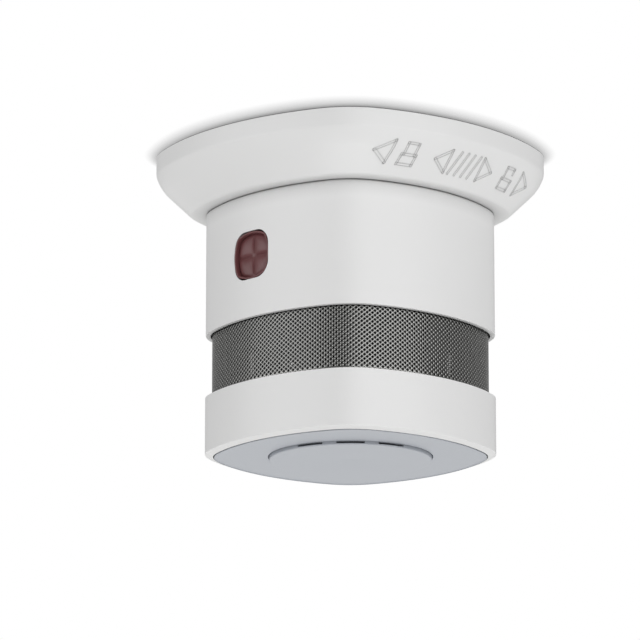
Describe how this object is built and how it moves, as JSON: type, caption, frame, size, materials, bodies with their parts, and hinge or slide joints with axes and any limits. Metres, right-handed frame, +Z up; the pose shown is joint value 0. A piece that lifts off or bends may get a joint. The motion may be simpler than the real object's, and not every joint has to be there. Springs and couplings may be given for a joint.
{
  "type": "smoke detector",
  "caption": "Compact battery smoke detector for a ceiling: rounded square head with an insect mesh band and test button, twist-locked into a flared mounting base.",
  "frame": {"origin": "centre of the mounting base's back face, which lies on the ceiling", "axes": "+Z up into the ceiling, flat sides of the rounded square plan across X and Y, indicator window on the -Y side"},
  "size_m": [0.0598, 0.0598, 0.0522],
  "materials": {
    "white_housing": "fine matte moulded ABS",
    "panel_plastic": "satin pale blue-grey ABS",
    "mesh_steel": "etched dark stainless sheet",
    "window_tint": "clear polycarbonate tinted dark red",
    "black_plastic": "matte black polycarbonate",
    "tray_plastic": "natural moulded ABS",
    "board_laminate": "green solder mask on glass laminate",
    "component_black": "moulded epoxy",
    "capacitor_can": "drawn aluminium can",
    "coil_copper": "enamelled copper winding",
    "lamp_clear": "clear cast epoxy",
    "lamp_dark": "daylight-blocking dark epoxy",
    "contact_nickel": "nickel-plated spring steel",
    "screw_steel": "zinc-plated steel",
    "cell_wrap": "shrink sleeve on a steel can",
    "piezo_brass": "rolled brass with a silvered ceramic disc",
    "wire_sleeve": "PVC-covered hook-up wire"
  },
  "bodies": {
    "mount": {"mounting_base": "white_housing"},
    "head": {"upper_housing": "white_housing", "battery_tray": "tray_plastic", "battery_cell": "cell_wrap", "battery_contact_positive": "contact_nickel", "battery_contact_negative": "contact_nickel", "main_circuit_board": "board_laminate", "microcontroller": "component_black", "capacitors": "capacitor_can", "buzzer_coil": "coil_copper", "indicator_led": "lamp_clear", "window_lens": "window_tint", "chamber_base": "black_plastic", "chamber_cover": "black_plastic", "ir_emitter": "lamp_clear", "photodiode": "lamp_dark", "photodiode_shield": "contact_nickel", "insect_mesh": "mesh_steel", "vent_cage": "black_plastic", "lower_ring": "white_housing", "face_panel": "panel_plastic", "sound_horn": "tray_plastic", "piezo_element": "piezo_brass", "piezo_pins": "contact_nickel", "switch_board": "board_laminate", "switch_housing": "component_black", "button_spring": "screw_steel", "link_wires": "wire_sleeve", "cage_screws": "screw_steel", "tray_screws": "screw_steel", "horn_screws": "screw_steel"},
    "button": {"test_button": "panel_plastic"},
    "plunger": {"switch_plunger": "component_black"}
  },
  "joints": [
    {"name": "head_twist", "type": "hinge", "parent": "mount", "child": "head", "pos_m": [0, 0, -0.0098], "axis": [0, 0, 1], "range_deg": [0, 24]},
    {"name": "button_press", "type": "slide", "parent": "head", "child": "button", "axis": [0, 0, 1], "range_m": [0, 0.0005], "stiffness_N_per_m": 1500, "springref_m": -0.001, "deforming": ["button_spring"]},
    {"name": "plunger_press", "type": "slide", "parent": "head", "child": "plunger", "axis": [0, 0, 1], "range_m": [0, 0.0005]}
  ],
  "couplings": [
    {"joint": "plunger_press", "follows": "button_press", "ratio": 1}
  ]
}
